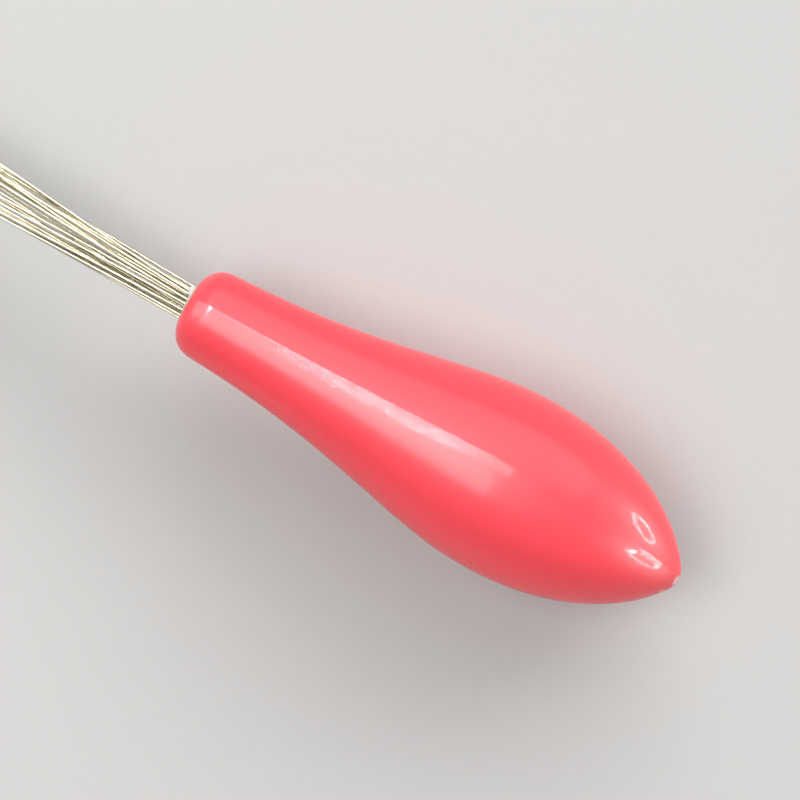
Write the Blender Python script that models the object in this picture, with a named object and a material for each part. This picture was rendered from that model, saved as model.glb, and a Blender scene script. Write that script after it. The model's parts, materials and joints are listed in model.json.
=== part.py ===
"""Needle threader: a moulded drop-shaped handle with a bunch of fine wire hairpins glued into its mouth.

Metres, +Z up. The handle's axis lies along X with the tip towards +X and the wires towards -X.
The tool lies on the plane z = 0: the belly touches it, and so do the lowest hairpins' far ends.
"""

import math
import random

import bmesh
import bpy
from mathutils import Vector

MM = 0.001

# the whole tool
TOTAL_LENGTH = 210.0 * MM
HANDLE_LENGTH = 60.0 * MM
MOUTH_X = TOTAL_LENGTH / 2 - HANDLE_LENGTH

# the handle's outline: distance from the mouth, and radius
BELLY_RADIUS = 10.0 * MM
BELLY_AT = 39.15 * MM
NECK_RADIUS = 5.04 * MM
NECK_AT = 3.13 * MM
NECK_SLOPE = 0.04
RIM_RADIUS = 2.50 * MM
GATE_RADIUS = 0.66 * MM
SHOULDER_STEPS = 7
NECK_STEPS = 13
NOSE_STEPS = 13
HANDLE_SEGMENTS = 48

# the mould's parting line: a fine ridge down both sides of the handle
PARTING_DEG = 10.3
RIDGE_HALF_DEG = 0.9
RIDGE_HEIGHT = 0.05 * MM

# the blind bore in the mouth and the adhesive that fills it
BORE_RADIUS = 2.25 * MM
BORE_DEPTH = 15.0 * MM
GLUE_GAP = 0.05 * MM
BEAD_HEIGHT = 0.35 * MM

# the hairpins
WIRE_RADIUS = 0.15 * MM
WIRE_SIDES = 6
SOCKET_CLEARANCE = 0.035 * MM
POTTED_DEPTH = 12.0 * MM
REACH = TOTAL_LENGTH - HANDLE_LENGTH
LAYERS = 9
LAYER_PITCH = 0.40 * MM
TIP_PITCH = 0.34 * MM
BUNDLE_RADIUS = 1.90 * MM
LEG_PITCH = 0.44 * MM
BEND_RADIUS = 0.28 * MM
BEND_STEPS = 6
LEG_STEPS = 14
EXIT_LENGTH = 2.0 * MM
EYE_SWELL = 0.35 * MM
STAGGER = 5.0 * MM
SEED = 344

# how the hairpins fan out: slopes at the mouth, the band's edges a little way out, and the far ends
LOW_LEAN = (-0.035, 0.012)
HIGH_LEAN = (0.008, 0.050)
LEAN_SPREAD = 0.006
LOW_BOW = (-0.30 * MM, 0.05 * MM)
HIGH_BOW = (0.05 * MM, 0.70 * MM)
BOW_LENGTH = 90.0 * MM
BAND_LOW = -1.80 * MM
BAND_HIGH = 2.85 * MM
BAND_AT = 21.0 * MM
END_REACH = (1.8 * MM, 5.6 * MM)

# spring steel, for the wires' sag under their own weight
YOUNG_PA = 200e9
STEEL_DENSITY = 7850.0
GRAVITY = 9.81


def clear_scene():
    for obj in list(bpy.data.objects):
        bpy.data.objects.remove(obj, do_unlink=True)


def make_material(name, colour, metallic, roughness):
    material = bpy.data.materials.new(name)
    material.use_nodes = True
    shader = material.node_tree.nodes["Principled BSDF"]
    shader.inputs["Base Color"].default_value = (*colour, 1.0)
    shader.inputs["Metallic"].default_value = metallic
    shader.inputs["Roughness"].default_value = roughness
    return material


def add_object(name, bm, material):
    bmesh.ops.recalc_face_normals(bm, faces=bm.faces)
    mesh = bpy.data.meshes.new(name)
    bm.to_mesh(mesh)
    bm.free()
    mesh.materials.append(material)
    obj = bpy.data.objects.new(name, mesh)
    bpy.context.scene.collection.objects.link(obj)
    return obj


def smooth_round_faces(obj, limit=math.radians(40.0)):
    """Smooth shading everywhere, with sharp edges kept where two faces meet at a real corner."""
    for polygon in obj.data.polygons:
        polygon.use_smooth = True
    obj.data.set_sharp_from_angle(angle=limit)


def curve_point(p0, p1, p2, p3, t):
    """One point of a cubic curve through (distance, radius) control points."""
    a = (1 - t) ** 3
    b = 3 * t * (1 - t) ** 2
    c = 3 * t * t * (1 - t)
    d = t ** 3
    return tuple(a * p0[i] + b * p1[i] + c * p2[i] + d * p3[i] for i in range(2))


def handle_outline():
    """The outside of the handle from the mouth's rim to the cut gate at the tip."""
    rim = (0.0, RIM_RADIUS)
    neck = (NECK_AT, NECK_RADIUS)
    belly = (BELLY_AT, BELLY_RADIUS)
    gate = (HANDLE_LENGTH, GATE_RADIUS)
    neck_arm = 18.91 * MM
    spans = (
        (rim, (0.35 * MM, 3.9 * MM), (1.2 * MM, 5.0 * MM), neck, SHOULDER_STEPS),
        (neck, (NECK_AT + neck_arm, NECK_RADIUS + NECK_SLOPE * neck_arm),
         (BELLY_AT - 9.55 * MM, BELLY_RADIUS), belly, NECK_STEPS),
        (belly, (BELLY_AT + 14.9 * MM, BELLY_RADIUS),
         (HANDLE_LENGTH - 0.29 * MM, 1.7 * MM), gate, NOSE_STEPS),
    )
    points = [rim]
    for p0, p1, p2, p3, steps in spans:
        points += [curve_point(p0, p1, p2, p3, i / steps) for i in range(1, steps + 1)]
    return points


def ring_angles():
    """Angles round the handle from +Z towards +Y, with three extra for each side of the parting line."""
    angles = [math.tau * i / HANDLE_SEGMENTS for i in range(HANDLE_SEGMENTS)]
    heights = [0.0] * HANDLE_SEGMENTS
    for side in (0.0, 180.0):
        for offset, height in ((-RIDGE_HALF_DEG, 0.0), (0.0, RIDGE_HEIGHT), (RIDGE_HALF_DEG, 0.0)):
            angles.append(math.radians(PARTING_DEG + side + offset))
            heights.append(height)
    return sorted(zip(angles, heights))


def add_ring(bm, distance, radius, ridged, angles):
    ring = []
    for angle, height in angles:
        r = radius + (height if ridged else 0.0)
        position = Vector((MOUTH_X + distance, r * math.sin(angle), BELLY_RADIUS + r * math.cos(angle)))
        ring.append(bm.verts.new(position))
    return ring


def join_rings(bm, rings):
    for first, second in zip(rings, rings[1:]):
        count = len(first)
        for i in range(count):
            j = (i + 1) % count
            bm.faces.new((first[i], first[j], second[j], second[i]))


def build_handle(material):
    bm = bmesh.new()
    angles = ring_angles()
    rings = [add_ring(bm, BORE_DEPTH, BORE_RADIUS, False, angles)]
    rings.append(add_ring(bm, 0.0, BORE_RADIUS, False, angles))
    outline = handle_outline()
    for index, (distance, radius) in enumerate(outline):
        ridged = 0 < index < len(outline) - 1
        rings.append(add_ring(bm, distance, radius, ridged, angles))
    join_rings(bm, rings)
    bm.faces.new(rings[0])
    bm.faces.new(rings[-1])
    handle = add_object("handle", bm, material)
    smooth_round_faces(handle)
    return handle


def eased(s):
    """Distance travelled at full slope by a wire that leaves the mouth straight and bends over EXIT_LENGTH."""
    if s <= 0.0:
        return 0.0
    if s < EXIT_LENGTH:
        return s * s / (2 * EXIT_LENGTH)
    return s - EXIT_LENGTH / 2


def sag(s):
    """Drop of a spring-steel cantilever of length REACH under its own weight, at distance s."""
    if s <= 0.0:
        return 0.0
    stiffness = YOUNG_PA * math.pi * WIRE_RADIUS ** 4 / 4
    load = STEEL_DENSITY * GRAVITY * math.pi * WIRE_RADIUS ** 2
    return load * s * s * (6 * REACH * REACH - 4 * REACH * s + s * s) / (24 * stiffness)


def layer_offset(layer):
    """Height of a layer of legs above the handle's axis, inside the mouth."""
    return (layer - (LAYERS - 1) / 2) * LAYER_PITCH


def wire_height(layer, s):
    """Height of a layer's wires above the table at distance s from the mouth."""
    start = layer_offset(layer)
    share = eased(s) / eased(REACH)
    tip = WIRE_RADIUS + layer * TIP_PITCH
    return BELLY_RADIUS + start + share * (tip - BELLY_RADIUS - start + sag(REACH)) - sag(s)


def bowed(bow, s):
    """Sideways bow of a springy wire at distance s, back to nothing every BOW_LENGTH."""
    return bow * (1 - math.cos(math.tau * max(s, 0.0) / BOW_LENGTH))


def plan_layer(layer, rng):
    """Sideways start, slope, bow and far end of the four legs of one layer, in order from -Y to +Y."""
    half = math.sqrt(BUNDLE_RADIUS ** 2 - layer_offset(layer) ** 2)
    slack = 2 * half - 3 * LEG_PITCH
    cuts = sorted(rng.uniform(0.0, slack) for _ in range(4))
    starts = [cut + i * LEG_PITCH - half for i, cut in enumerate(cuts)]
    low_bow, high_bow = rng.uniform(*LOW_BOW), rng.uniform(*HIGH_BOW)
    low = max(rng.uniform(*LOW_LEAN), (BAND_LOW - starts[0] - bowed(low_bow, BAND_AT)) / BAND_AT)
    high = (BAND_HIGH - starts[3] - bowed(high_bow, BAND_AT)) / BAND_AT - LEAN_SPREAD
    high = max(min(rng.uniform(*HIGH_LEAN), high), low + LEAN_SPREAD)
    slopes = [low, low + LEAN_SPREAD, high, high + LEAN_SPREAD]
    bows = [low_bow, low_bow, high_bow, high_bow]
    left, right = -rng.uniform(*END_REACH), rng.uniform(*END_REACH)
    if layer == 0:
        left, right = -END_REACH[1], END_REACH[1]
    ends = [left - BEND_RADIUS, left + BEND_RADIUS, right - BEND_RADIUS, right + BEND_RADIUS]
    return list(zip(starts, slopes, bows, ends))


def leg_y(leg, side, s):
    """Sideways place of one leg at distance s: side is -1 or +1 within its own hairpin."""
    start, slope, bow, end = leg
    share = (max(s, 0.0) / REACH) ** 2.2
    swell = EYE_SWELL * math.sin(math.pi * share) ** 2
    return (start + slope * eased(s) + bowed(bow, s)) * (1 - share) + end * share + side * swell


def leg_stations(length):
    """Distances along one leg from its potted end to the start of the far bend, closer near the mouth."""
    inner = [-POTTED_DEPTH, 0.0]
    return inner + [length * (i / LEG_STEPS) ** 1.15 for i in range(1, LEG_STEPS + 1)]


def hairpin_path(layer, legs, length):
    """Centre line of one hairpin: out along one leg, round the far bend, and back along the other."""
    stations = leg_stations(length)
    out = []
    back = []
    for s in stations:
        out.append(Vector((MOUTH_X - s, leg_y(legs[0], -1, s), wire_height(layer, s))))
        back.append(Vector((MOUTH_X - s, leg_y(legs[1], 1, s), wire_height(layer, s))))
    centre = (out[-1] + back[-1]) / 2
    half = (back[-1].y - out[-1].y) / 2
    fall = out[-1].z - wire_height(layer, length + BEND_RADIUS)
    bend = []
    for i in range(1, BEND_STEPS):
        angle = math.pi * i / BEND_STEPS
        ahead = math.sin(angle)
        bend.append(centre + Vector((-BEND_RADIUS * ahead, -half * math.cos(angle), -fall * ahead)))
    return out + bend + back[::-1]


def add_tube(bm, path, radius):
    """A closed tube of WIRE_SIDES sides along a path that stays close to the horizontal."""
    rings = []
    for i, point in enumerate(path):
        before = path[max(i - 1, 0)]
        after = path[min(i + 1, len(path) - 1)]
        tangent = (after - before).normalized()
        across = tangent.cross(Vector((0.0, 0.0, 1.0))).normalized()
        up = across.cross(tangent)
        ring = []
        for k in range(WIRE_SIDES):
            angle = math.tau * (k + 0.5) / WIRE_SIDES
            ring.append(bm.verts.new(point + radius * (math.cos(angle) * across + math.sin(angle) * up)))
        rings.append(ring)
    join_rings(bm, rings)
    bm.faces.new(rings[0])
    bm.faces.new(rings[-1])


def plan_hairpins():
    """Layer, legs and length of every hairpin, from the lowest layer up."""
    rng = random.Random(SEED)
    hairpins = []
    for layer in range(LAYERS):
        legs = plan_layer(layer, rng)
        for pair in (0, 2):
            shorter = STAGGER * rng.random() * layer / (LAYERS - 1)
            length = REACH - BEND_RADIUS - WIRE_RADIUS - shorter
            hairpins.append((layer, legs[pair:pair + 2], length))
    return hairpins


def build_hairpins(hairpins, material):
    for number, (layer, legs, length) in enumerate(hairpins, 1):
        bm = bmesh.new()
        add_tube(bm, hairpin_path(layer, legs, length), WIRE_RADIUS)
        smooth_round_faces(add_object(f"loop_{number:02d}", bm, material), math.radians(70.0))


def build_socket_cutter(hairpins, material):
    """One straight blind socket for every leg, a little wider and deeper than the wire in it."""
    bm = bmesh.new()
    for layer, legs, _ in hairpins:
        for start, _, _, _ in legs:
            deep = Vector((MOUTH_X + POTTED_DEPTH + 0.1 * MM, start, BELLY_RADIUS + layer_offset(layer)))
            add_tube(bm, [deep, deep - Vector((POTTED_DEPTH + 2.0 * MM, 0.0, 0.0))],
                     WIRE_RADIUS + SOCKET_CLEARANCE)
    cutter = add_object("socket_cutter", bm, material)
    cutter.hide_render = True
    cutter.display_type = "WIRE"
    return cutter


def build_adhesive(hairpins, material):
    radius = BORE_RADIUS - GLUE_GAP
    outline = [
        (BORE_DEPTH - GLUE_GAP, radius),
        (0.15 * MM, radius),
        (-0.10 * MM, radius - 0.08 * MM),
        (-0.25 * MM, radius - 0.26 * MM),
        (-0.33 * MM, radius - 0.55 * MM),
        (-BEAD_HEIGHT, radius - 0.95 * MM),
    ]
    angles = [(math.tau * i / 36, 0.0) for i in range(36)]
    bm = bmesh.new()
    rings = [add_ring(bm, distance, r, False, angles) for distance, r in outline]
    join_rings(bm, rings)
    bm.faces.new(rings[0])
    bm.faces.new(rings[-1])
    adhesive = add_object("adhesive", bm, material)
    sockets = adhesive.modifiers.new("sockets", "BOOLEAN")
    sockets.operation = "DIFFERENCE"
    sockets.solver = "EXACT"
    sockets.object = build_socket_cutter(hairpins, material)
    return adhesive


def main():
    clear_scene()
    plastic = make_material("coral_plastic", (0.93, 0.085, 0.11), 0.0, 0.22)
    steel = make_material("spring_steel", (0.72, 0.68, 0.58), 1.0, 0.22)
    glue = make_material("clear_adhesive", (0.86, 0.84, 0.80), 0.0, 0.15)
    hairpins = plan_hairpins()
    build_handle(plastic)
    build_adhesive(hairpins, glue)
    build_hairpins(hairpins, steel)


main()
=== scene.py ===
"""Looks of a needle threader: a moulded coral handle with a bunch of spring-wire hairpins glued in its mouth.

Laid out as a Blender add-on and run as a script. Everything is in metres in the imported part's own frame:
the handle's axis lies along X with the tip towards +X, and the table is z = 0.
"""

import json
import math
import random

import bmesh
import bpy
from bpy.props import FloatProperty, FloatVectorProperty, IntProperty, PointerProperty
from bpy.types import Operator, Panel, PropertyGroup
from mathutils import Matrix, Vector

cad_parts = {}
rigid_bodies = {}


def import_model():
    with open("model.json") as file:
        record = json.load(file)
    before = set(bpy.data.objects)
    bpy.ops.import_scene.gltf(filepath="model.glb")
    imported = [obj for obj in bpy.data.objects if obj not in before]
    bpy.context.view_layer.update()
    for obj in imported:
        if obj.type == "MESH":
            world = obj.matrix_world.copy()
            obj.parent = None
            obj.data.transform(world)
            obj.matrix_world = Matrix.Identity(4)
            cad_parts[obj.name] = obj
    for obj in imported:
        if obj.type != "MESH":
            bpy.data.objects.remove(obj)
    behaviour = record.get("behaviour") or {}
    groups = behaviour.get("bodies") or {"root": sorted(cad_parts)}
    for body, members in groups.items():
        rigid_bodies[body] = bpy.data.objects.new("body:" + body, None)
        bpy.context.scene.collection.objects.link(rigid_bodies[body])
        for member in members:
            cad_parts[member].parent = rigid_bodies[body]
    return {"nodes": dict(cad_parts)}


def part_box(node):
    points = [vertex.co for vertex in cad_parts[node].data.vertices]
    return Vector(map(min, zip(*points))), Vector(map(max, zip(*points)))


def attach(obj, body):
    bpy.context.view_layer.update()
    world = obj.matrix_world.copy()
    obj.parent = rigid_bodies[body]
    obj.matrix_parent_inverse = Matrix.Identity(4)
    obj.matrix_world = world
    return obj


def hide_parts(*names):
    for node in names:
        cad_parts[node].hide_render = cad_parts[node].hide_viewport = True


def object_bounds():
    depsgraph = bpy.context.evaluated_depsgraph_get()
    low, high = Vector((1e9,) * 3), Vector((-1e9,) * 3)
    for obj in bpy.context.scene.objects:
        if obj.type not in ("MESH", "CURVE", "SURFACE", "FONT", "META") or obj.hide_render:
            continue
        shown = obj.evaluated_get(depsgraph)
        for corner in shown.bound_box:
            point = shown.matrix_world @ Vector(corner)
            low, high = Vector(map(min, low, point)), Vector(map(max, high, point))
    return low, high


bl_info = {
    "name": "Needle Threader",
    "version": (1, 0, 0),
    "blender": (4, 5, 0),
    "location": "View3D > Sidebar > Threader",
    "description": "Builds the handle, adhesive and wire hairpins of a needle threader, and its studio",
    "category": "Object",
}

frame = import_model()
CAD_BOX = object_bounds()

MM = 0.001
HANDLE_LOW, HANDLE_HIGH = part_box("handle")
MOUTH_X = HANDLE_LOW.x
HANDLE_LENGTH = HANDLE_HIGH.x - HANDLE_LOW.x
AXIS_Z = (HANDLE_LOW.z + HANDLE_HIGH.z) / 2
GLUE_LOW, GLUE_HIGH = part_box("adhesive")
GLUE_RADIUS = (GLUE_HIGH.y - GLUE_LOW.y) / 2
HAIRPIN_NODES = sorted(name for name in frame["nodes"] if name.startswith("loop_"))

# the handle's outline, as distance from the mouth and radius; an arm is how far a curve keeps its course
BELLY_RADIUS = (HANDLE_HIGH.z - HANDLE_LOW.z) / 2
BELLY_AT = 39.15 * MM
BELLY_REAR_ARM = 9.55 * MM
BELLY_FRONT_ARM = 14.9 * MM
NECK_AT = 3.13 * MM
NECK_RADIUS = 5.04 * MM
NECK_ARM = 18.91 * MM
NECK_SLOPE = 0.04
NOSE_AT = HANDLE_LENGTH - 0.29 * MM
NOSE_RADIUS = 1.7 * MM
RIM_RADIUS = 2.50 * MM
RIM_ROUND = 0.10 * MM
RIM_ARM = (0.35 * MM, 3.9 * MM)
SHOULDER_ARM = (1.2 * MM, 5.0 * MM)
GATE_RADIUS = 0.66 * MM
GATE_GROOVE = 0.05 * MM
GATE_LIP = 0.02 * MM
GLUE_GAP = 0.05 * MM
BORE_RADIUS = GLUE_RADIUS + GLUE_GAP
BORE_DEPTH = 15.0 * MM
BORE_FLARE_AT = 1.0 * MM

# the mould's parting plane, measured from +Z towards +Y
PARTING = math.radians(10.3)
TURN_STEPS = 192

# pale marks at the cut gate: centre, reach and whiteness
TIP_X = HANDLE_HIGH.x
STRESS_WHITE = "F6D2D0"
GATE_MARKS = (
    (Vector((TIP_X - 0.10 * MM, -0.20 * MM, AXIS_Z + 0.95 * MM)), 0.60 * MM, 0.72),
    (Vector((TIP_X - 1.25 * MM, -1.80 * MM, AXIS_Z + 1.00 * MM)), 0.45 * MM, 0.50),
)

# the worn stretch of skin beside the parting line: its middle and half width, its soft edge, and its ends
WORN_OFFSET = 0.55 * MM
WORN_HALF_WIDTH = 0.50 * MM
WORN_EDGE = 0.95 * MM
WORN_START = (MOUTH_X + 4 * MM, MOUTH_X + 14 * MM)
WORN_END = (MOUTH_X + 28 * MM, MOUTH_X + 42 * MM)

# the hairpins, by the same rule as their solids
WIRE_RADIUS = 0.15 * MM
POTTED_DEPTH = 12.0 * MM
REACH = MOUTH_X - CAD_BOX[0].x
LAYERS = 9
LAYER_PITCH = 0.40 * MM
TIP_PITCH = 0.34 * MM
BUNDLE_RADIUS = 1.90 * MM
LEG_PITCH = 0.44 * MM
BEND_RADIUS = 0.28 * MM
EXIT_LENGTH = 2.0 * MM
EYE_SWELL = 0.35 * MM
STAGGER = 5.0 * MM
LOW_LEAN = (-0.035, 0.012)
HIGH_LEAN = (0.008, 0.050)
LEAN_SPREAD = 0.006
LOW_BOW = (-0.30 * MM, 0.05 * MM)
HIGH_BOW = (0.05 * MM, 0.70 * MM)
BOW_LENGTH = 90.0 * MM
BAND_LOW = -1.80 * MM
BAND_HIGH = 2.85 * MM
BAND_AT = 21.0 * MM
END_REACH = (1.8 * MM, 5.6 * MM)
SEED = 344
YOUNG_PA = 200e9
STEEL_DENSITY = 7850.0
GRAVITY = 9.81

# the studio: a floor just under the table plane, and the point of the handle that the camera is over
FLOOR_SIZE = 4.0
FLOOR_GAP = 0.02 * MM
VIEW_CENTRE = (MOUTH_X + 24.73 * MM, 2.11 * MM)
CAMERA_LENS = 180.0


def linear(hex_colour):
    """The linear colour of an sRGB hex value."""
    parts = [int(hex_colour[i:i + 2], 16) / 255 for i in (0, 2, 4)]
    return tuple(c / 12.92 if c <= 0.04045 else ((c + 0.055) / 1.055) ** 2.4 for c in parts)


def per_mm(size_mm):
    """Texture scale that gives features of that size, on coordinates in metres."""
    return 1.0 / (size_mm * MM)


# ---------------------------------------------------------------- settings

class HandleSettings(PropertyGroup):
    plastic: FloatVectorProperty(
        name="Plastic", description="Colour of the moulded plastic",
        subtype="COLOR", size=3, min=0, max=1, default=linear("F53845"))
    roughness: FloatProperty(
        name="Roughness", description="Roughness of the plastic's satin haze",
        min=0.05, max=0.9, default=0.42)
    skin_roughness: FloatProperty(
        name="Skin roughness", description="Roughness of the glossier skin that the polished mould leaves",
        min=0.02, max=0.6, default=0.06)
    ridge: FloatProperty(
        name="Parting ridge", description="Height of the ridge that the mould's parting line leaves",
        unit="LENGTH", min=0.0, max=0.0002, default=0.05 * MM, precision=5)
    ridge_spread: FloatProperty(
        name="Ridge spread", description="Angle over which the ridge dies away on each side",
        subtype="ANGLE", min=0.01, max=0.3, default=math.radians(4.0))


class WireSettings(PropertyGroup):
    steel: FloatVectorProperty(
        name="Steel", description="Colour of the drawn spring wire",
        subtype="COLOR", size=3, min=0, max=1, default=linear("D5CCB3"))
    sides: IntProperty(
        name="Roundness", description="Bevel resolution of each wire", min=1, max=6, default=3)
    stations: IntProperty(
        name="Stations", description="Points along each leg", min=20, max=120, default=64)


class GlueSettings(PropertyGroup):
    tint: FloatVectorProperty(
        name="Adhesive", description="Colour of the hardened adhesive",
        subtype="COLOR", size=3, min=0, max=1, default=linear("EFE9E2"))
    creep: FloatProperty(
        name="Creep", description="How far the adhesive has crept out along the wires",
        unit="LENGTH", min=0.0, max=0.002, default=0.80 * MM, precision=5)


class StageSettings(PropertyGroup):
    floor: FloatVectorProperty(
        name="Floor", description="Colour of the floor",
        subtype="COLOR", size=3, min=0, max=1, default=linear("B9B8B6"))
    ambient: FloatProperty(
        name="Ambient", description="Strength of the even light from all round",
        min=0.0, max=3.0, default=0.54)
    view_width: FloatProperty(
        name="View width", description="Width of the camera's view at the handle's axis",
        unit="LENGTH", min=0.02, max=0.5, default=85.4 * MM, precision=4)
    turn: FloatProperty(
        name="Turn", description="Angle between the handle's axis and the view's lower edge",
        subtype="ANGLE", default=math.radians(29.45))


# ---------------------------------------------------------------- tools

def deselect():
    if bpy.context.object and bpy.context.object.mode != "OBJECT":
        bpy.ops.object.mode_set(mode="OBJECT")
    bpy.ops.object.select_all(action="DESELECT")


def add_node(tree, kind, settings=(), inputs=()):
    """One shader node with its settings, and with its inputs set or linked."""
    node = tree.nodes.new(kind)
    for name, value in dict(settings).items():
        setattr(node, name, value)
    for name, value in dict(inputs).items():
        if isinstance(value, bpy.types.NodeSocket):
            tree.links.new(value, node.inputs[name])
        else:
            node.inputs[name].default_value = value
    return node


def new_material(name):
    """An empty material with its output, and the object coordinates that its patterns read."""
    material = bpy.data.materials.new(name)
    material.use_nodes = True
    tree = material.node_tree
    tree.nodes.clear()
    output = tree.nodes.new("ShaderNodeOutputMaterial")
    where = tree.nodes.new("ShaderNodeTexCoord").outputs["Object"]
    return material, tree, output, where


def finish_piece(piece, material, slot, *nodes):
    """Checks that a piece is a closed body, then gives it its material and its place in the frame."""
    body = bmesh.new()
    body.from_mesh(piece.data)
    gaps = sum(not edge.is_manifold for edge in body.edges)
    body.free()
    if gaps:
        raise RuntimeError(f"{piece.name} isn't a closed body: {gaps} open edges")
    piece.data.materials.clear()
    piece.data.materials.append(material)
    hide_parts(*nodes)
    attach(piece, "root")


def around_axis(distance, radius, angle):
    """A point at a distance from the mouth and at a radius and angle from the handle's axis."""
    return Vector((MOUTH_X + distance, radius * math.sin(angle), AXIS_Z + radius * math.cos(angle)))


def turn_on_lathe(name, outline, steps):
    """A closed body turned about the handle's axis, from an outline that starts and ends on the axis."""
    deselect()
    points = [around_axis(distance, radius, PARTING) for distance, radius in outline]
    bpy.ops.mesh.primitive_plane_add(size=MM, location=points[0])
    piece = bpy.context.object
    piece.name = name
    bpy.ops.object.mode_set(mode="EDIT")
    bpy.ops.mesh.select_all(action="SELECT")
    bpy.ops.mesh.merge(type="CENTER")
    for here, there in zip(points, points[1:]):
        bpy.ops.mesh.extrude_region_move(TRANSFORM_OT_translate={"value": there - here})
    bpy.ops.mesh.select_all(action="SELECT")
    bpy.ops.mesh.spin(steps=steps, angle=math.tau, center=(0.0, 0.0, AXIS_Z), axis=(1.0, 0.0, 0.0))
    bpy.ops.mesh.select_all(action="SELECT")
    bpy.ops.mesh.remove_doubles(threshold=0.002 * MM)
    bpy.ops.mesh.normals_make_consistent(inside=False)
    bpy.ops.object.mode_set(mode="OBJECT")
    bpy.ops.object.transform_apply(location=True, rotation=True, scale=True)
    return piece


def curve_point(p0, p1, p2, p3, t):
    """One point of a cubic curve through control points."""
    a = (1 - t) ** 3
    b = 3 * t * (1 - t) ** 2
    c = 3 * t * t * (1 - t)
    d = t ** 3
    return tuple(a * p0[i] + b * p1[i] + c * p2[i] + d * p3[i] for i in range(2))


# ---------------------------------------------------------------- handle

def handle_outline():
    """The handle's outline from the bottom of its bore, over the rim, neck and belly, to the cut gate."""
    rim = (0.0, RIM_RADIUS)
    neck = (NECK_AT, NECK_RADIUS)
    belly = (BELLY_AT, BELLY_RADIUS)
    gate = (HANDLE_LENGTH - GATE_GROOVE, GATE_RADIUS + GATE_GROOVE)
    neck_end = (NECK_AT + NECK_ARM, NECK_RADIUS + NECK_SLOPE * NECK_ARM)
    spans = (
        (rim, RIM_ARM, SHOULDER_ARM, neck, 18),
        (neck, neck_end, (BELLY_AT - BELLY_REAR_ARM, BELLY_RADIUS), belly, 36),
        (belly, (BELLY_AT + BELLY_FRONT_ARM, BELLY_RADIUS), (NOSE_AT, NOSE_RADIUS), gate, 36),
    )
    points = [
        (BORE_DEPTH, 0.0),
        (BORE_DEPTH, BORE_RADIUS),
        (BORE_FLARE_AT, BORE_RADIUS),
        (0.5 * RIM_ROUND, BORE_RADIUS),
        (0.0, BORE_RADIUS + 0.5 * RIM_ROUND),
        rim,
    ]
    for p0, p1, p2, p3, steps in spans:
        points += [curve_point(p0, p1, p2, p3, i / steps) for i in range(1, steps + 1)]
    points += [
        (HANDLE_LENGTH - 2 * GATE_GROOVE, GATE_RADIUS),
        (HANDLE_LENGTH - GATE_LIP, GATE_RADIUS - GATE_LIP),
        (HANDLE_LENGTH, 0.72 * GATE_RADIUS),
        (HANDLE_LENGTH - 0.5 * GATE_LIP, 0.4 * GATE_RADIUS),
        (HANDLE_LENGTH, 0.0),
    ]
    return points


def raise_parting_ridge(piece, height, spread):
    """Lifts the outside into a low ridge along both parting lines, sharp at its crest."""
    step = math.tau / TURN_STEPS
    columns = {}
    for vertex in piece.data.vertices:
        x, y, z = vertex.co
        radius = math.hypot(y, z - AXIS_Z)
        if radius < GATE_RADIUS * 1.5 or (radius < RIM_RADIUS * 0.999 and x < MOUTH_X + BORE_DEPTH * 1.01):
            continue
        off = (math.atan2(y, z - AXIS_Z) - PARTING + math.pi / 2) % math.pi - math.pi / 2
        columns.setdefault(round(off / step), []).append(vertex.index)
    for column, indices in columns.items():
        lift = height * math.exp(-abs(column) * step / spread)
        if lift < 0.01 * height:
            continue
        for index in indices:
            co = piece.data.vertices[index].co
            outward = Vector((0.0, co.y, co.z - AXIS_Z)).normalized()
            piece.data.vertices[index].co = co + outward * lift
    crest = set(columns[0])
    for edge in piece.data.edges:
        edge.use_edge_sharp = edge.vertices[0] in crest and edge.vertices[1] in crest


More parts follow.
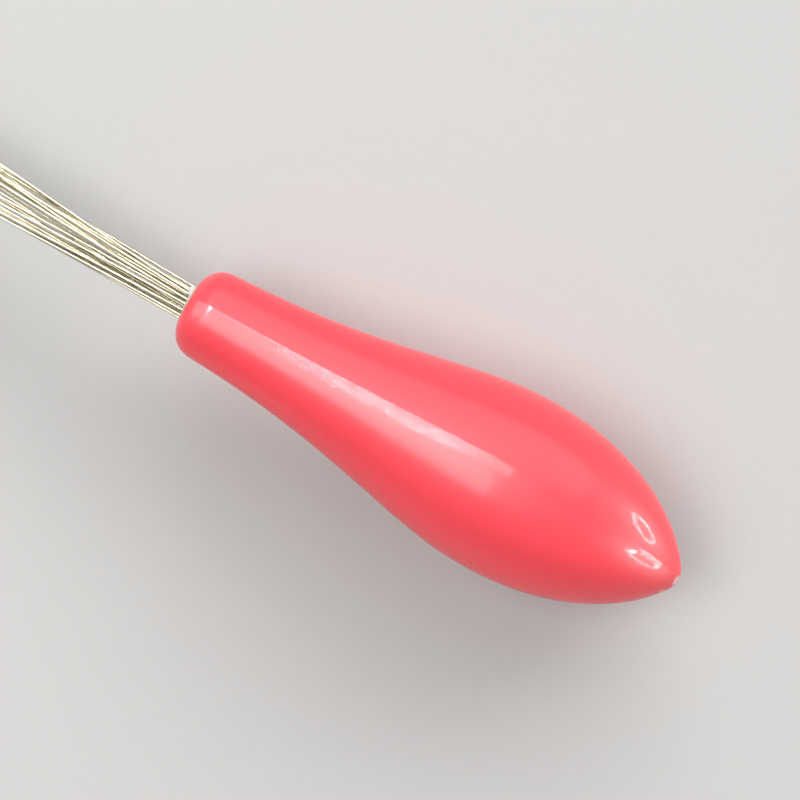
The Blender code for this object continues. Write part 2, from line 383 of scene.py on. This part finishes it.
def coral_plastic(settings):
    """Injection-moulded ABS from a polished mould: a saturated, slightly translucent coral with a satin haze
    under a glossier skin, fine orange peel, and pale stress marks round the cut gate."""
    material, tree, output, where = new_material("moulded_coral_abs")
    # slow shade changes from the flow of the melt, tens of millimetres long
    flow = add_node(tree, "ShaderNodeTexNoise", (),
                    {"Vector": where, "Scale": per_mm(18.0), "Detail": 2.0})
    deep = tuple(c * 0.90 for c in settings.plastic)
    body = add_node(tree, "ShaderNodeMix", {"data_type": "RGBA"},
                    {0: flow.outputs["Fac"], 6: (*deep, 1.0), 7: (*settings.plastic, 1.0)})
    # stress whitening where the gate was cut, and a fainter smear behind it
    ragged = add_node(tree, "ShaderNodeTexNoise", (), {"Vector": where, "Scale": per_mm(0.7), "Detail": 3.0})
    colour = body
    for centre, reach, whiteness in GATE_MARKS:
        away = add_node(tree, "ShaderNodeVectorMath", {"operation": "DISTANCE"}, {0: where, 1: centre})
        edge = add_node(tree, "ShaderNodeMath", {"operation": "MULTIPLY_ADD"},
                        {0: ragged.outputs["Fac"], 1: 0.6 * reach, 2: away.outputs["Value"]})
        mark = add_node(tree, "ShaderNodeMapRange", (),
                        {"Value": edge.outputs[0], "From Min": reach, "From Max": 1.5 * reach,
                         "To Min": whiteness, "To Max": 0.0})
        colour = add_node(tree, "ShaderNodeMix", {"data_type": "RGBA"},
                          {0: mark.outputs[0], 6: colour.outputs[2], 7: (*linear(STRESS_WHITE), 1.0)})
    # orange peel of the mould, a few millimetres long, and finer pits that speckle the highlights
    peel = add_node(tree, "ShaderNodeTexNoise", (), {"Vector": where, "Scale": per_mm(2.6), "Detail": 1.0})
    grain = add_node(tree, "ShaderNodeTexNoise", (), {"Vector": where, "Scale": per_mm(0.32), "Detail": 2.0})
    wavy = add_node(tree, "ShaderNodeBump", (),
                    {"Height": peel.outputs["Fac"], "Strength": 1.0, "Distance": 0.020 * MM})
    # the pits are deepest just beside the parting line along the neck, where the mould's edges are worn
    across = add_node(tree, "ShaderNodeVectorMath", {"operation": "DOT_PRODUCT"},
                      {0: where, 1: (0.0, math.cos(PARTING), -math.sin(PARTING))})
    from_seam = add_node(tree, "ShaderNodeMath", {"operation": "ADD"},
                         {0: across.outputs["Value"], 1: AXIS_Z * math.sin(PARTING)})
    one_side = add_node(tree, "ShaderNodeMath", {"operation": "ADD"},
                        {0: from_seam.outputs[0], 1: WORN_OFFSET})
    near_seam = add_node(tree, "ShaderNodeMath", {"operation": "ABSOLUTE"}, {0: one_side.outputs[0]})
    pitted = add_node(tree, "ShaderNodeMapRange", (),
                      {"Value": near_seam.outputs[0], "From Min": WORN_HALF_WIDTH, "From Max": WORN_EDGE,
                       "To Min": 0.85, "To Max": 0.0})
    along = add_node(tree, "ShaderNodeSeparateXYZ", (), {0: where})
    rear = add_node(tree, "ShaderNodeMapRange", (),
                    {"Value": along.outputs["X"], "From Min": WORN_END[0], "From Max": WORN_END[1],
                     "To Min": 1.0, "To Max": 0.0})
    front = add_node(tree, "ShaderNodeMapRange", (),
                     {"Value": along.outputs["X"], "From Min": WORN_START[0], "From Max": WORN_START[1],
                      "To Min": 0.12, "To Max": 1.0})
    middle = add_node(tree, "ShaderNodeMath", {"operation": "MULTIPLY"},
                      {0: front.outputs[0], 1: rear.outputs[0]})
    worn = add_node(tree, "ShaderNodeMath", {"operation": "MULTIPLY_ADD"},
                    {0: pitted.outputs[0], 1: middle.outputs[0], 2: 0.12})
    relief = add_node(tree, "ShaderNodeBump", (),
                      {"Height": grain.outputs["Fac"], "Strength": worn.outputs[0], "Distance": 0.064 * MM,
                       "Normal": wavy.outputs["Normal"]})
    rough = add_node(tree, "ShaderNodeMapRange", (),
                     {"Value": grain.outputs["Fac"], "From Min": 0.3, "From Max": 0.7,
                      "To Min": settings.roughness * 0.85, "To Max": settings.roughness * 1.2})
    shader = add_node(tree, "ShaderNodeBsdfPrincipled", {"subsurface_method": "RANDOM_WALK"}, {
        "Base Color": colour.outputs[2],
        "Roughness": rough.outputs[0],
        "Normal": relief.outputs["Normal"],
        "IOR": 1.53,
        "Subsurface Weight": 0.12,
        "Subsurface Radius": (1.0, 0.30, 0.25),
        "Subsurface Scale": 1.2 * MM,
        "Coat Weight": 0.35,
        "Coat Roughness": settings.skin_roughness,
        "Coat IOR": 1.5,
        "Coat Normal": relief.outputs["Normal"],
    })
    tree.links.new(shader.outputs[0], output.inputs["Surface"])
    return material


class THREADER_OT_handle(Operator):
    """Turns the drop-shaped handle with its blind bore, parting ridge and cut gate"""
    bl_idname = "threader.handle"
    bl_label = "Build handle"

    def execute(self, context):
        settings = context.scene.threader_handle
        piece = turn_on_lathe("moulded_handle", handle_outline(), TURN_STEPS)
        raise_parting_ridge(piece, settings.ridge, settings.ridge_spread)
        deselect()
        piece.select_set(True)
        bpy.ops.object.shade_smooth_by_angle(angle=math.radians(32.0), keep_sharp_edges=True)
        finish_piece(piece, coral_plastic(settings), "coral_plastic", "handle")
        return {"FINISHED"}


# ---------------------------------------------------------------- adhesive

def adhesive_outline():
    """The plug's outline from the bottom of the bore to the middle of its domed bead outside the mouth."""
    depth = GLUE_HIGH.x - MOUTH_X
    bead = MOUTH_X - GLUE_LOW.x
    dome_at = 0.2 * MM
    points = [(depth, 0.0), (depth, GLUE_RADIUS), (3 * dome_at, GLUE_RADIUS), (dome_at, GLUE_RADIUS)]
    steps = 14
    for i in range(1, steps + 1):
        angle = math.pi / 2 * i / steps
        points.append((dome_at - (bead + dome_at) * math.sin(angle), GLUE_RADIUS * math.cos(angle) ** 0.6))
    points[-1] = (-bead, 0.0)
    return points


def creep_along_wires(piece, creep):
    """Draws the bead out along the wires at its upper +Y side, where the adhesive ran before it set."""
    rng = random.Random(SEED)
    lumps = [
        (rng.uniform(0.4, 1.7) * MM, rng.uniform(0.2, 1.5) * MM, rng.uniform(0.4, 0.9))
        for _ in range(5)
    ]
    lump_reach = 0.75 * MM
    for vertex in piece.data.vertices:
        x, y, z = vertex.co
        if x > MOUTH_X:
            continue
        pull = 0.0
        for lump_y, lump_z, share in lumps:
            away = math.hypot(y - lump_y, z - AXIS_Z - lump_z)
            pull = max(pull, share * math.exp(-(away / lump_reach) ** 2))
        vertex.co.x -= creep * pull


def clear_adhesive(settings):
    """Hardened clear adhesive: colourless but milky with tiny bubbles, glossy where it set in the open."""
    material, tree, output, where = new_material("hardened_clear_adhesive")
    cloud = add_node(tree, "ShaderNodeTexNoise", (), {"Vector": where, "Scale": per_mm(0.5), "Detail": 3.0})
    milky = tuple(c * 0.82 for c in settings.tint)
    colour = add_node(tree, "ShaderNodeMix", {"data_type": "RGBA"},
                      {0: cloud.outputs["Fac"], 6: (*milky, 1.0), 7: (*settings.tint, 1.0)})
    lumpy = add_node(tree, "ShaderNodeBump", (),
                     {"Height": cloud.outputs["Fac"], "Strength": 1.0, "Distance": 0.064 * MM})
    shader = add_node(tree, "ShaderNodeBsdfPrincipled", (), {
        "Base Color": colour.outputs[2],
        "Normal": lumpy.outputs["Normal"],
        "Roughness": 0.16,
        "IOR": 1.50,
        "Transmission Weight": 0.45,
        "Subsurface Weight": 0.4,
        "Subsurface Radius": (1.0, 1.0, 1.0),
        "Subsurface Scale": 0.4 * MM,
    })
    tree.links.new(shader.outputs[0], output.inputs["Surface"])
    return material


class THREADER_OT_adhesive(Operator):
    """Casts the clear adhesive plug in the bore, with its bead drawn out along the wires"""
    bl_idname = "threader.adhesive"
    bl_label = "Build adhesive"

    def execute(self, context):
        settings = context.scene.threader_glue
        piece = turn_on_lathe("adhesive_plug", adhesive_outline(), 96)
        creep_along_wires(piece, settings.creep)
        deselect()
        piece.select_set(True)
        bpy.ops.object.shade_smooth_by_angle(angle=math.radians(50.0))
        finish_piece(piece, clear_adhesive(settings), "clear_adhesive", "adhesive")
        return {"FINISHED"}


# ---------------------------------------------------------------- hairpins

def eased(s):
    """Distance travelled at full slope by a wire that leaves the mouth straight and bends soon after."""
    if s <= 0.0:
        return 0.0
    if s < EXIT_LENGTH:
        return s * s / (2 * EXIT_LENGTH)
    return s - EXIT_LENGTH / 2


def sag(s):
    """Drop of a spring-steel cantilever of length REACH under its own weight, at distance s."""
    if s <= 0.0:
        return 0.0
    stiffness = YOUNG_PA * math.pi * WIRE_RADIUS ** 4 / 4
    load = STEEL_DENSITY * GRAVITY * math.pi * WIRE_RADIUS ** 2
    return load * s * s * (6 * REACH * REACH - 4 * REACH * s + s * s) / (24 * stiffness)


def layer_offset(layer):
    """Height of a layer of legs above the handle's axis, inside the mouth."""
    return (layer - (LAYERS - 1) / 2) * LAYER_PITCH


def wire_height(layer, s):
    """Height of a layer's wires above the table at distance s from the mouth."""
    start = layer_offset(layer)
    share = eased(s) / eased(REACH)
    tip = WIRE_RADIUS + layer * TIP_PITCH
    return AXIS_Z + start + share * (tip - AXIS_Z - start + sag(REACH)) - sag(s)


def bowed(bow, s):
    """Sideways bow of a springy wire at distance s, back to nothing every BOW_LENGTH."""
    return bow * (1 - math.cos(math.tau * max(s, 0.0) / BOW_LENGTH))


def plan_layer(layer, rng):
    """Sideways start, slope, bow and far end of the four legs of one layer, in order from -Y to +Y."""
    half = math.sqrt(BUNDLE_RADIUS ** 2 - layer_offset(layer) ** 2)
    slack = 2 * half - 3 * LEG_PITCH
    cuts = sorted(rng.uniform(0.0, slack) for _ in range(4))
    starts = [cut + i * LEG_PITCH - half for i, cut in enumerate(cuts)]
    low_bow, high_bow = rng.uniform(*LOW_BOW), rng.uniform(*HIGH_BOW)
    low = max(rng.uniform(*LOW_LEAN), (BAND_LOW - starts[0] - bowed(low_bow, BAND_AT)) / BAND_AT)
    high = (BAND_HIGH - starts[3] - bowed(high_bow, BAND_AT)) / BAND_AT - LEAN_SPREAD
    high = max(min(rng.uniform(*HIGH_LEAN), high), low + LEAN_SPREAD)
    slopes = [low, low + LEAN_SPREAD, high, high + LEAN_SPREAD]
    bows = [low_bow, low_bow, high_bow, high_bow]
    left, right = -rng.uniform(*END_REACH), rng.uniform(*END_REACH)
    if layer == 0:
        left, right = -END_REACH[1], END_REACH[1]
    ends = [left - BEND_RADIUS, left + BEND_RADIUS, right - BEND_RADIUS, right + BEND_RADIUS]
    return list(zip(starts, slopes, bows, ends))


def leg_y(leg, side, s):
    """Sideways place of one leg at distance s: side is -1 or +1 within its own hairpin."""
    start, slope, bow, end = leg
    share = (max(s, 0.0) / REACH) ** 2.2
    swell = EYE_SWELL * math.sin(math.pi * share) ** 2
    return (start + slope * eased(s) + bowed(bow, s)) * (1 - share) + end * share + side * swell


def plan_hairpins():
    """Layer, legs and length of every hairpin, from the lowest layer up."""
    rng = random.Random(SEED)
    hairpins = []
    for layer in range(LAYERS):
        legs = plan_layer(layer, rng)
        for pair in (0, 2):
            shorter = STAGGER * rng.random() * layer / (LAYERS - 1)
            length = REACH - BEND_RADIUS - WIRE_RADIUS - shorter
            hairpins.append((layer, legs[pair:pair + 2], length))
    return hairpins


def hairpin_path(layer, legs, length, stations):
    """Centre line of one hairpin: out along one leg, round the far bend, and back along the other."""
    places = [-POTTED_DEPTH, 0.0] + [length * (i / stations) ** 1.15 for i in range(1, stations + 1)]
    out, back = (
        [Vector((MOUTH_X - s, leg_y(leg, side, s), wire_height(layer, s))) for s in places]
        for leg, side in zip(legs, (-1, 1))
    )
    centre = (out[-1] + back[-1]) / 2
    half = (back[-1].y - out[-1].y) / 2
    fall = out[-1].z - wire_height(layer, length + BEND_RADIUS)
    bend_steps = 14
    bend = []
    for i in range(1, bend_steps):
        angle = math.pi * i / bend_steps
        ahead = math.sin(angle)
        bend.append(centre + Vector((-BEND_RADIUS * ahead, -half * math.cos(angle), -fall * ahead)))
    return out + bend + back[::-1]


def draw_wire(name, path, bevel_resolution):
    """A round wire along a path: a curve with a bevel, made a closed mesh."""
    deselect()
    bpy.ops.curve.primitive_nurbs_path_add(location=(0.0, 0.0, 0.0))
    wire = bpy.context.object
    wire.name = name
    curve = wire.data
    curve.splines.clear()
    spline = curve.splines.new("POLY")
    spline.points.add(len(path) - 1)
    for point, place in zip(spline.points, path):
        point.co = (*place, 1.0)
    curve.twist_mode = "Z_UP"
    curve.bevel_depth = WIRE_RADIUS
    curve.bevel_resolution = bevel_resolution
    curve.use_fill_caps = True
    bpy.ops.object.convert(target="MESH")
    bpy.ops.object.mode_set(mode="EDIT")
    bpy.ops.mesh.select_all(action="SELECT")
    bpy.ops.mesh.remove_doubles(threshold=0.001 * MM)
    bpy.ops.mesh.normals_make_consistent(inside=False)
    bpy.ops.object.mode_set(mode="OBJECT")
    bpy.ops.object.shade_smooth_by_angle(angle=math.radians(60.0))
    return wire


def drawn_wire(settings):
    """Drawn spring-steel wire: bright and faintly warm, with fine draw lines along its length."""
    material, tree, output, where = new_material("drawn_spring_wire")
    # patterns are stretched along X, the way the wires run: streaks 9 mm long and 0.12 mm across
    streaks_at = add_node(tree, "ShaderNodeMapping", {"vector_type": "POINT"},
                          {"Vector": where, "Scale": (0.013, 1.0, 1.0)})
    streaks = add_node(tree, "ShaderNodeTexNoise", (),
                       {"Vector": streaks_at.outputs[0], "Scale": per_mm(0.12), "Detail": 2.0})
    worn = tuple(c * 0.74 for c in settings.steel)
    colour = add_node(tree, "ShaderNodeMix", {"data_type": "RGBA"},
                      {0: streaks.outputs["Fac"], 6: (*worn, 1.0), 7: (*settings.steel, 1.0)})
    rough = add_node(tree, "ShaderNodeMapRange", (),
                     {"Value": streaks.outputs["Fac"], "From Min": 0.3, "From Max": 0.7,
                      "To Min": 0.16, "To Max": 0.30})
    drawn = add_node(tree, "ShaderNodeBump", (),
                     {"Height": streaks.outputs["Fac"], "Strength": 1.0, "Distance": 0.006 * MM})
    shader = add_node(tree, "ShaderNodeBsdfPrincipled", (), {
        "Base Color": colour.outputs[2],
        "Roughness": rough.outputs[0],
        "Normal": drawn.outputs["Normal"],
        "Metallic": 1.0,
    })
    tree.links.new(shader.outputs[0], output.inputs["Surface"])
    return material


class THREADER_OT_hairpins(Operator):
    """Draws every spring-wire hairpin: two legs potted in the adhesive and a tight bend at the far end"""
    bl_idname = "threader.hairpins"
    bl_label = "Build hairpins"

    def execute(self, context):
        settings = context.scene.threader_wire
        material = drawn_wire(settings)
        hairpins = plan_hairpins()
        if len(hairpins) != len(HAIRPIN_NODES):
            raise RuntimeError("the hairpins planned here aren't as many as the frame's")
        for node, (layer, legs, length) in zip(HAIRPIN_NODES, hairpins):
            path = hairpin_path(layer, legs, length, settings.stations)
            wire = draw_wire("hairpin_" + node[-2:], path, settings.sides)
            finish_piece(wire, material, "spring_steel", node)
        return {"FINISHED"}


# ---------------------------------------------------------------- stage

def floor_paper(settings):
    """Matt studio paper: pale, with a very faint tooth."""
    material, tree, output, where = new_material("matt_studio_paper")
    tooth = add_node(tree, "ShaderNodeTexNoise", (), {"Vector": where, "Scale": per_mm(1.5), "Detail": 3.0})
    darker = tuple(c * 0.97 for c in settings.floor)
    colour = add_node(tree, "ShaderNodeMix", {"data_type": "RGBA"},
                      {0: tooth.outputs["Fac"], 6: (*darker, 1.0), 7: (*settings.floor, 1.0)})
    relief = add_node(tree, "ShaderNodeBump", (),
                      {"Height": tooth.outputs["Fac"], "Strength": 0.5, "Distance": 0.064 * MM})
    shader = add_node(tree, "ShaderNodeBsdfPrincipled", (), {
        "Base Color": colour.outputs[2],
        "Normal": relief.outputs["Normal"],
        "Roughness": 0.9,
        "Specular IOR Level": 0.05,
    })
    tree.links.new(shader.outputs[0], output.inputs["Surface"])
    return material


def softbox_fabric(strength, softness):
    """White fabric of a softbox, bright in the middle and fading over a share of each side."""
    material, tree, output, where = new_material("softbox_fabric")
    split = add_node(tree, "ShaderNodeSeparateXYZ", (), {0: where})
    level = strength
    for axis, soft in zip(("X", "Y"), softness):
        off = add_node(tree, "ShaderNodeMath", {"operation": "ABSOLUTE"}, {0: split.outputs[axis]})
        fade = add_node(tree, "ShaderNodeMapRange", {"interpolation_type": "SMOOTHSTEP"},
                        {"Value": off.outputs[0], "From Min": 0.5 - soft, "From Max": 0.5,
                         "To Min": 1.0, "To Max": 0.0})
        level = add_node(tree, "ShaderNodeMath", {"operation": "MULTIPLY"},
                         {0: fade.outputs[0], 1: level}).outputs[0]
    glow = add_node(tree, "ShaderNodeEmission", (), {"Strength": level})
    tree.links.new(glow.outputs[0], output.inputs["Surface"])
    return material


def lamp_fabric(strength):
    """Even white light of a ring lamp's tube."""
    material, tree, output, where = new_material("ring_lamp_tube")
    warm = add_node(tree, "ShaderNodeTexGradient", {"gradient_type": "LINEAR"}, {"Vector": where})
    colour = add_node(tree, "ShaderNodeMix", {"data_type": "RGBA"},
                      {0: warm.outputs["Fac"], 6: (1.0, 0.99, 0.97, 1.0), 7: (1.0, 1.0, 1.0, 1.0)})
    glow = add_node(tree, "ShaderNodeEmission", (), {"Color": colour.outputs[2], "Strength": strength})
    tree.links.new(glow.outputs[0], output.inputs["Surface"])
    return material


def place_lamp(lamp, name, direction, distance, size, material):
    """Turns a lamp towards the middle of the handle from a direction, its first side along X or level,
    and hides it from the camera."""
    target = Vector((MOUTH_X + 0.5 * HANDLE_LENGTH, 0.0, AXIS_Z))
    away = Vector(direction).normalized()
    lamp.name = name
    lamp.location = target + away * distance
    across = Vector((1.0, 0.0, 0.0)) if away.z > 0.85 else Vector((0.0, 0.0, 1.0)).cross(away)
    across = (across - away * across.dot(away)).normalized()
    lamp.rotation_euler = Matrix((across, away.cross(across), away)).transposed().to_euler()
    lamp.scale = (*size, 1.0)
    lamp.data.materials.append(material)
    lamp.visible_camera = False
    lamp.visible_shadow = False
    return lamp


def add_softbox(name, direction, distance, size, strength, softness):
    bpy.ops.mesh.primitive_plane_add(size=1.0)
    return place_lamp(bpy.context.object, name, direction, distance, size, softbox_fabric(strength, softness))


def add_ring_lamp(name, direction, distance, size, strength):
    bpy.ops.mesh.primitive_torus_add(major_radius=0.5, minor_radius=0.04)
    return place_lamp(bpy.context.object, name, direction, distance, size, lamp_fabric(strength))


class THREADER_OT_stage(Operator):
    """Lays the floor, sets the soft studio lights and the camera"""
    bl_idname = "threader.stage"
    bl_label = "Build stage"

    def execute(self, context):
        settings = context.scene.threader_stage
        scene = context.scene
        deselect()
        bpy.ops.mesh.primitive_plane_add(size=FLOOR_SIZE, location=(0.0, 0.0, -FLOOR_GAP))
        floor = context.object
        floor.name = "studio_floor"
        floor.data.materials.append(floor_paper(settings))
        world = bpy.data.worlds.new("studio_world")
        world.use_nodes = True
        background = world.node_tree.nodes["Background"]
        background.inputs["Color"].default_value = (0.95, 0.97, 1.0, 1.0)
        background.inputs["Strength"].default_value = settings.ambient
        scene.world = world
        # the key lights the handle's +Y half, and the overhead softbox gives the glow below the parting ridge
        add_softbox("key_softbox", (-0.16, 0.778, 0.607), 0.70, (1.15, 0.944), 1.9, (0.12, 0.26))
        add_softbox("overhead_softbox", (-0.195, -0.115, 0.55), 0.60, (0.40, 0.52), 6.4, (0.14, 0.36))
        # the side fill lights the handle's flank and shows in no reflection
        side_fill = add_softbox("side_fill", (-0.05, 0.86, 0.51), 0.75, (1.1, 0.42), 11.0, (0.15, 0.30))
        side_fill.visible_glossy = False
        # these show in reflections only: the bright core beside the ridge, the sheen of the wires,
        # and the two ring lamps with their spot at the tip
        reflectors = (
            add_softbox("overhead_strip", (-0.126, 0.103, 0.55), 0.573, (0.21, 0.030), 38.0, (0.06, 0.20)),
            add_softbox("overhead_patch", (-0.255, 0.082, 0.55), 0.612, (0.06, 0.064), 230.0, (0.10, 0.25)),
            add_softbox("overhead_spot", (-0.022, 0.086, 0.55), 0.557, (0.02, 0.02), 150.0, (0.25, 0.25)),
            add_softbox("wire_side_card", (-0.575, -0.05, 0.29), 0.64, (0.36, 0.60), 4.8, (0.20, 0.10)),
            add_ring_lamp("front_ring_lamp", (0.961, -0.005, 0.276), 0.50, (0.078, 0.22), 34.0),
            add_ring_lamp("side_ring_lamp", (0.825, 0.55, 0.15), 0.50, (0.155, 0.115), 34.0),
            add_softbox("front_spot", (0.905, 0.03, 0.424), 0.50, (0.022, 0.026), 200.0, (0.3, 0.3)),
        )
        for lamp in reflectors:
            lamp.visible_diffuse = False
        camera = bpy.data.cameras.new("studio_camera")
        camera.lens = CAMERA_LENS
        view = bpy.data.objects.new("studio_camera", camera)
        scene.collection.objects.link(view)
        distance = settings.view_width * camera.lens / camera.sensor_width
        view.location = (*VIEW_CENTRE, AXIS_Z + distance)
        view.rotation_euler = (0.0, 0.0, settings.turn)
        camera.clip_start = 0.01
        scene.camera = view
        scene.view_settings.view_transform = "Standard"
        return {"FINISHED"}


class THREADER_PT_panel(Panel):
    """Sizes, colours and build steps of the needle threader"""
    bl_idname = "THREADER_PT_panel"
    bl_label = "Needle Threader"
    bl_space_type = "VIEW_3D"
    bl_region_type = "UI"
    bl_category = "Threader"

    def draw(self, context):
        for settings, operator in BUILD_STEPS:
            box = self.layout.box()
            group = getattr(context.scene, settings)
            for name in group.__annotations__:
                box.prop(group, name)
            box.operator(operator)


BUILD_STEPS = (
    ("threader_handle", "threader.handle"),
    ("threader_glue", "threader.adhesive"),
    ("threader_wire", "threader.hairpins"),
    ("threader_stage", "threader.stage"),
)
SETTINGS = (
    ("threader_handle", HandleSettings),
    ("threader_glue", GlueSettings),
    ("threader_wire", WireSettings),
    ("threader_stage", StageSettings),
)
CLASSES = (
    HandleSettings, WireSettings, GlueSettings, StageSettings,
    THREADER_OT_handle, THREADER_OT_adhesive, THREADER_OT_hairpins, THREADER_OT_stage,
    THREADER_PT_panel,
)


def register():
    for cls in CLASSES:
        bpy.utils.register_class(cls)
    for name, group in SETTINGS:
        setattr(bpy.types.Scene, name, PointerProperty(type=group))


def unregister():
    for name, _ in SETTINGS:
        delattr(bpy.types.Scene, name)
    for cls in reversed(CLASSES):
        bpy.utils.unregister_class(cls)


def main():
    register()
    bpy.ops.threader.handle()
    bpy.ops.threader.adhesive()
    bpy.ops.threader.hairpins()
    bpy.ops.threader.stage()


if __name__ == "__main__":
    main()
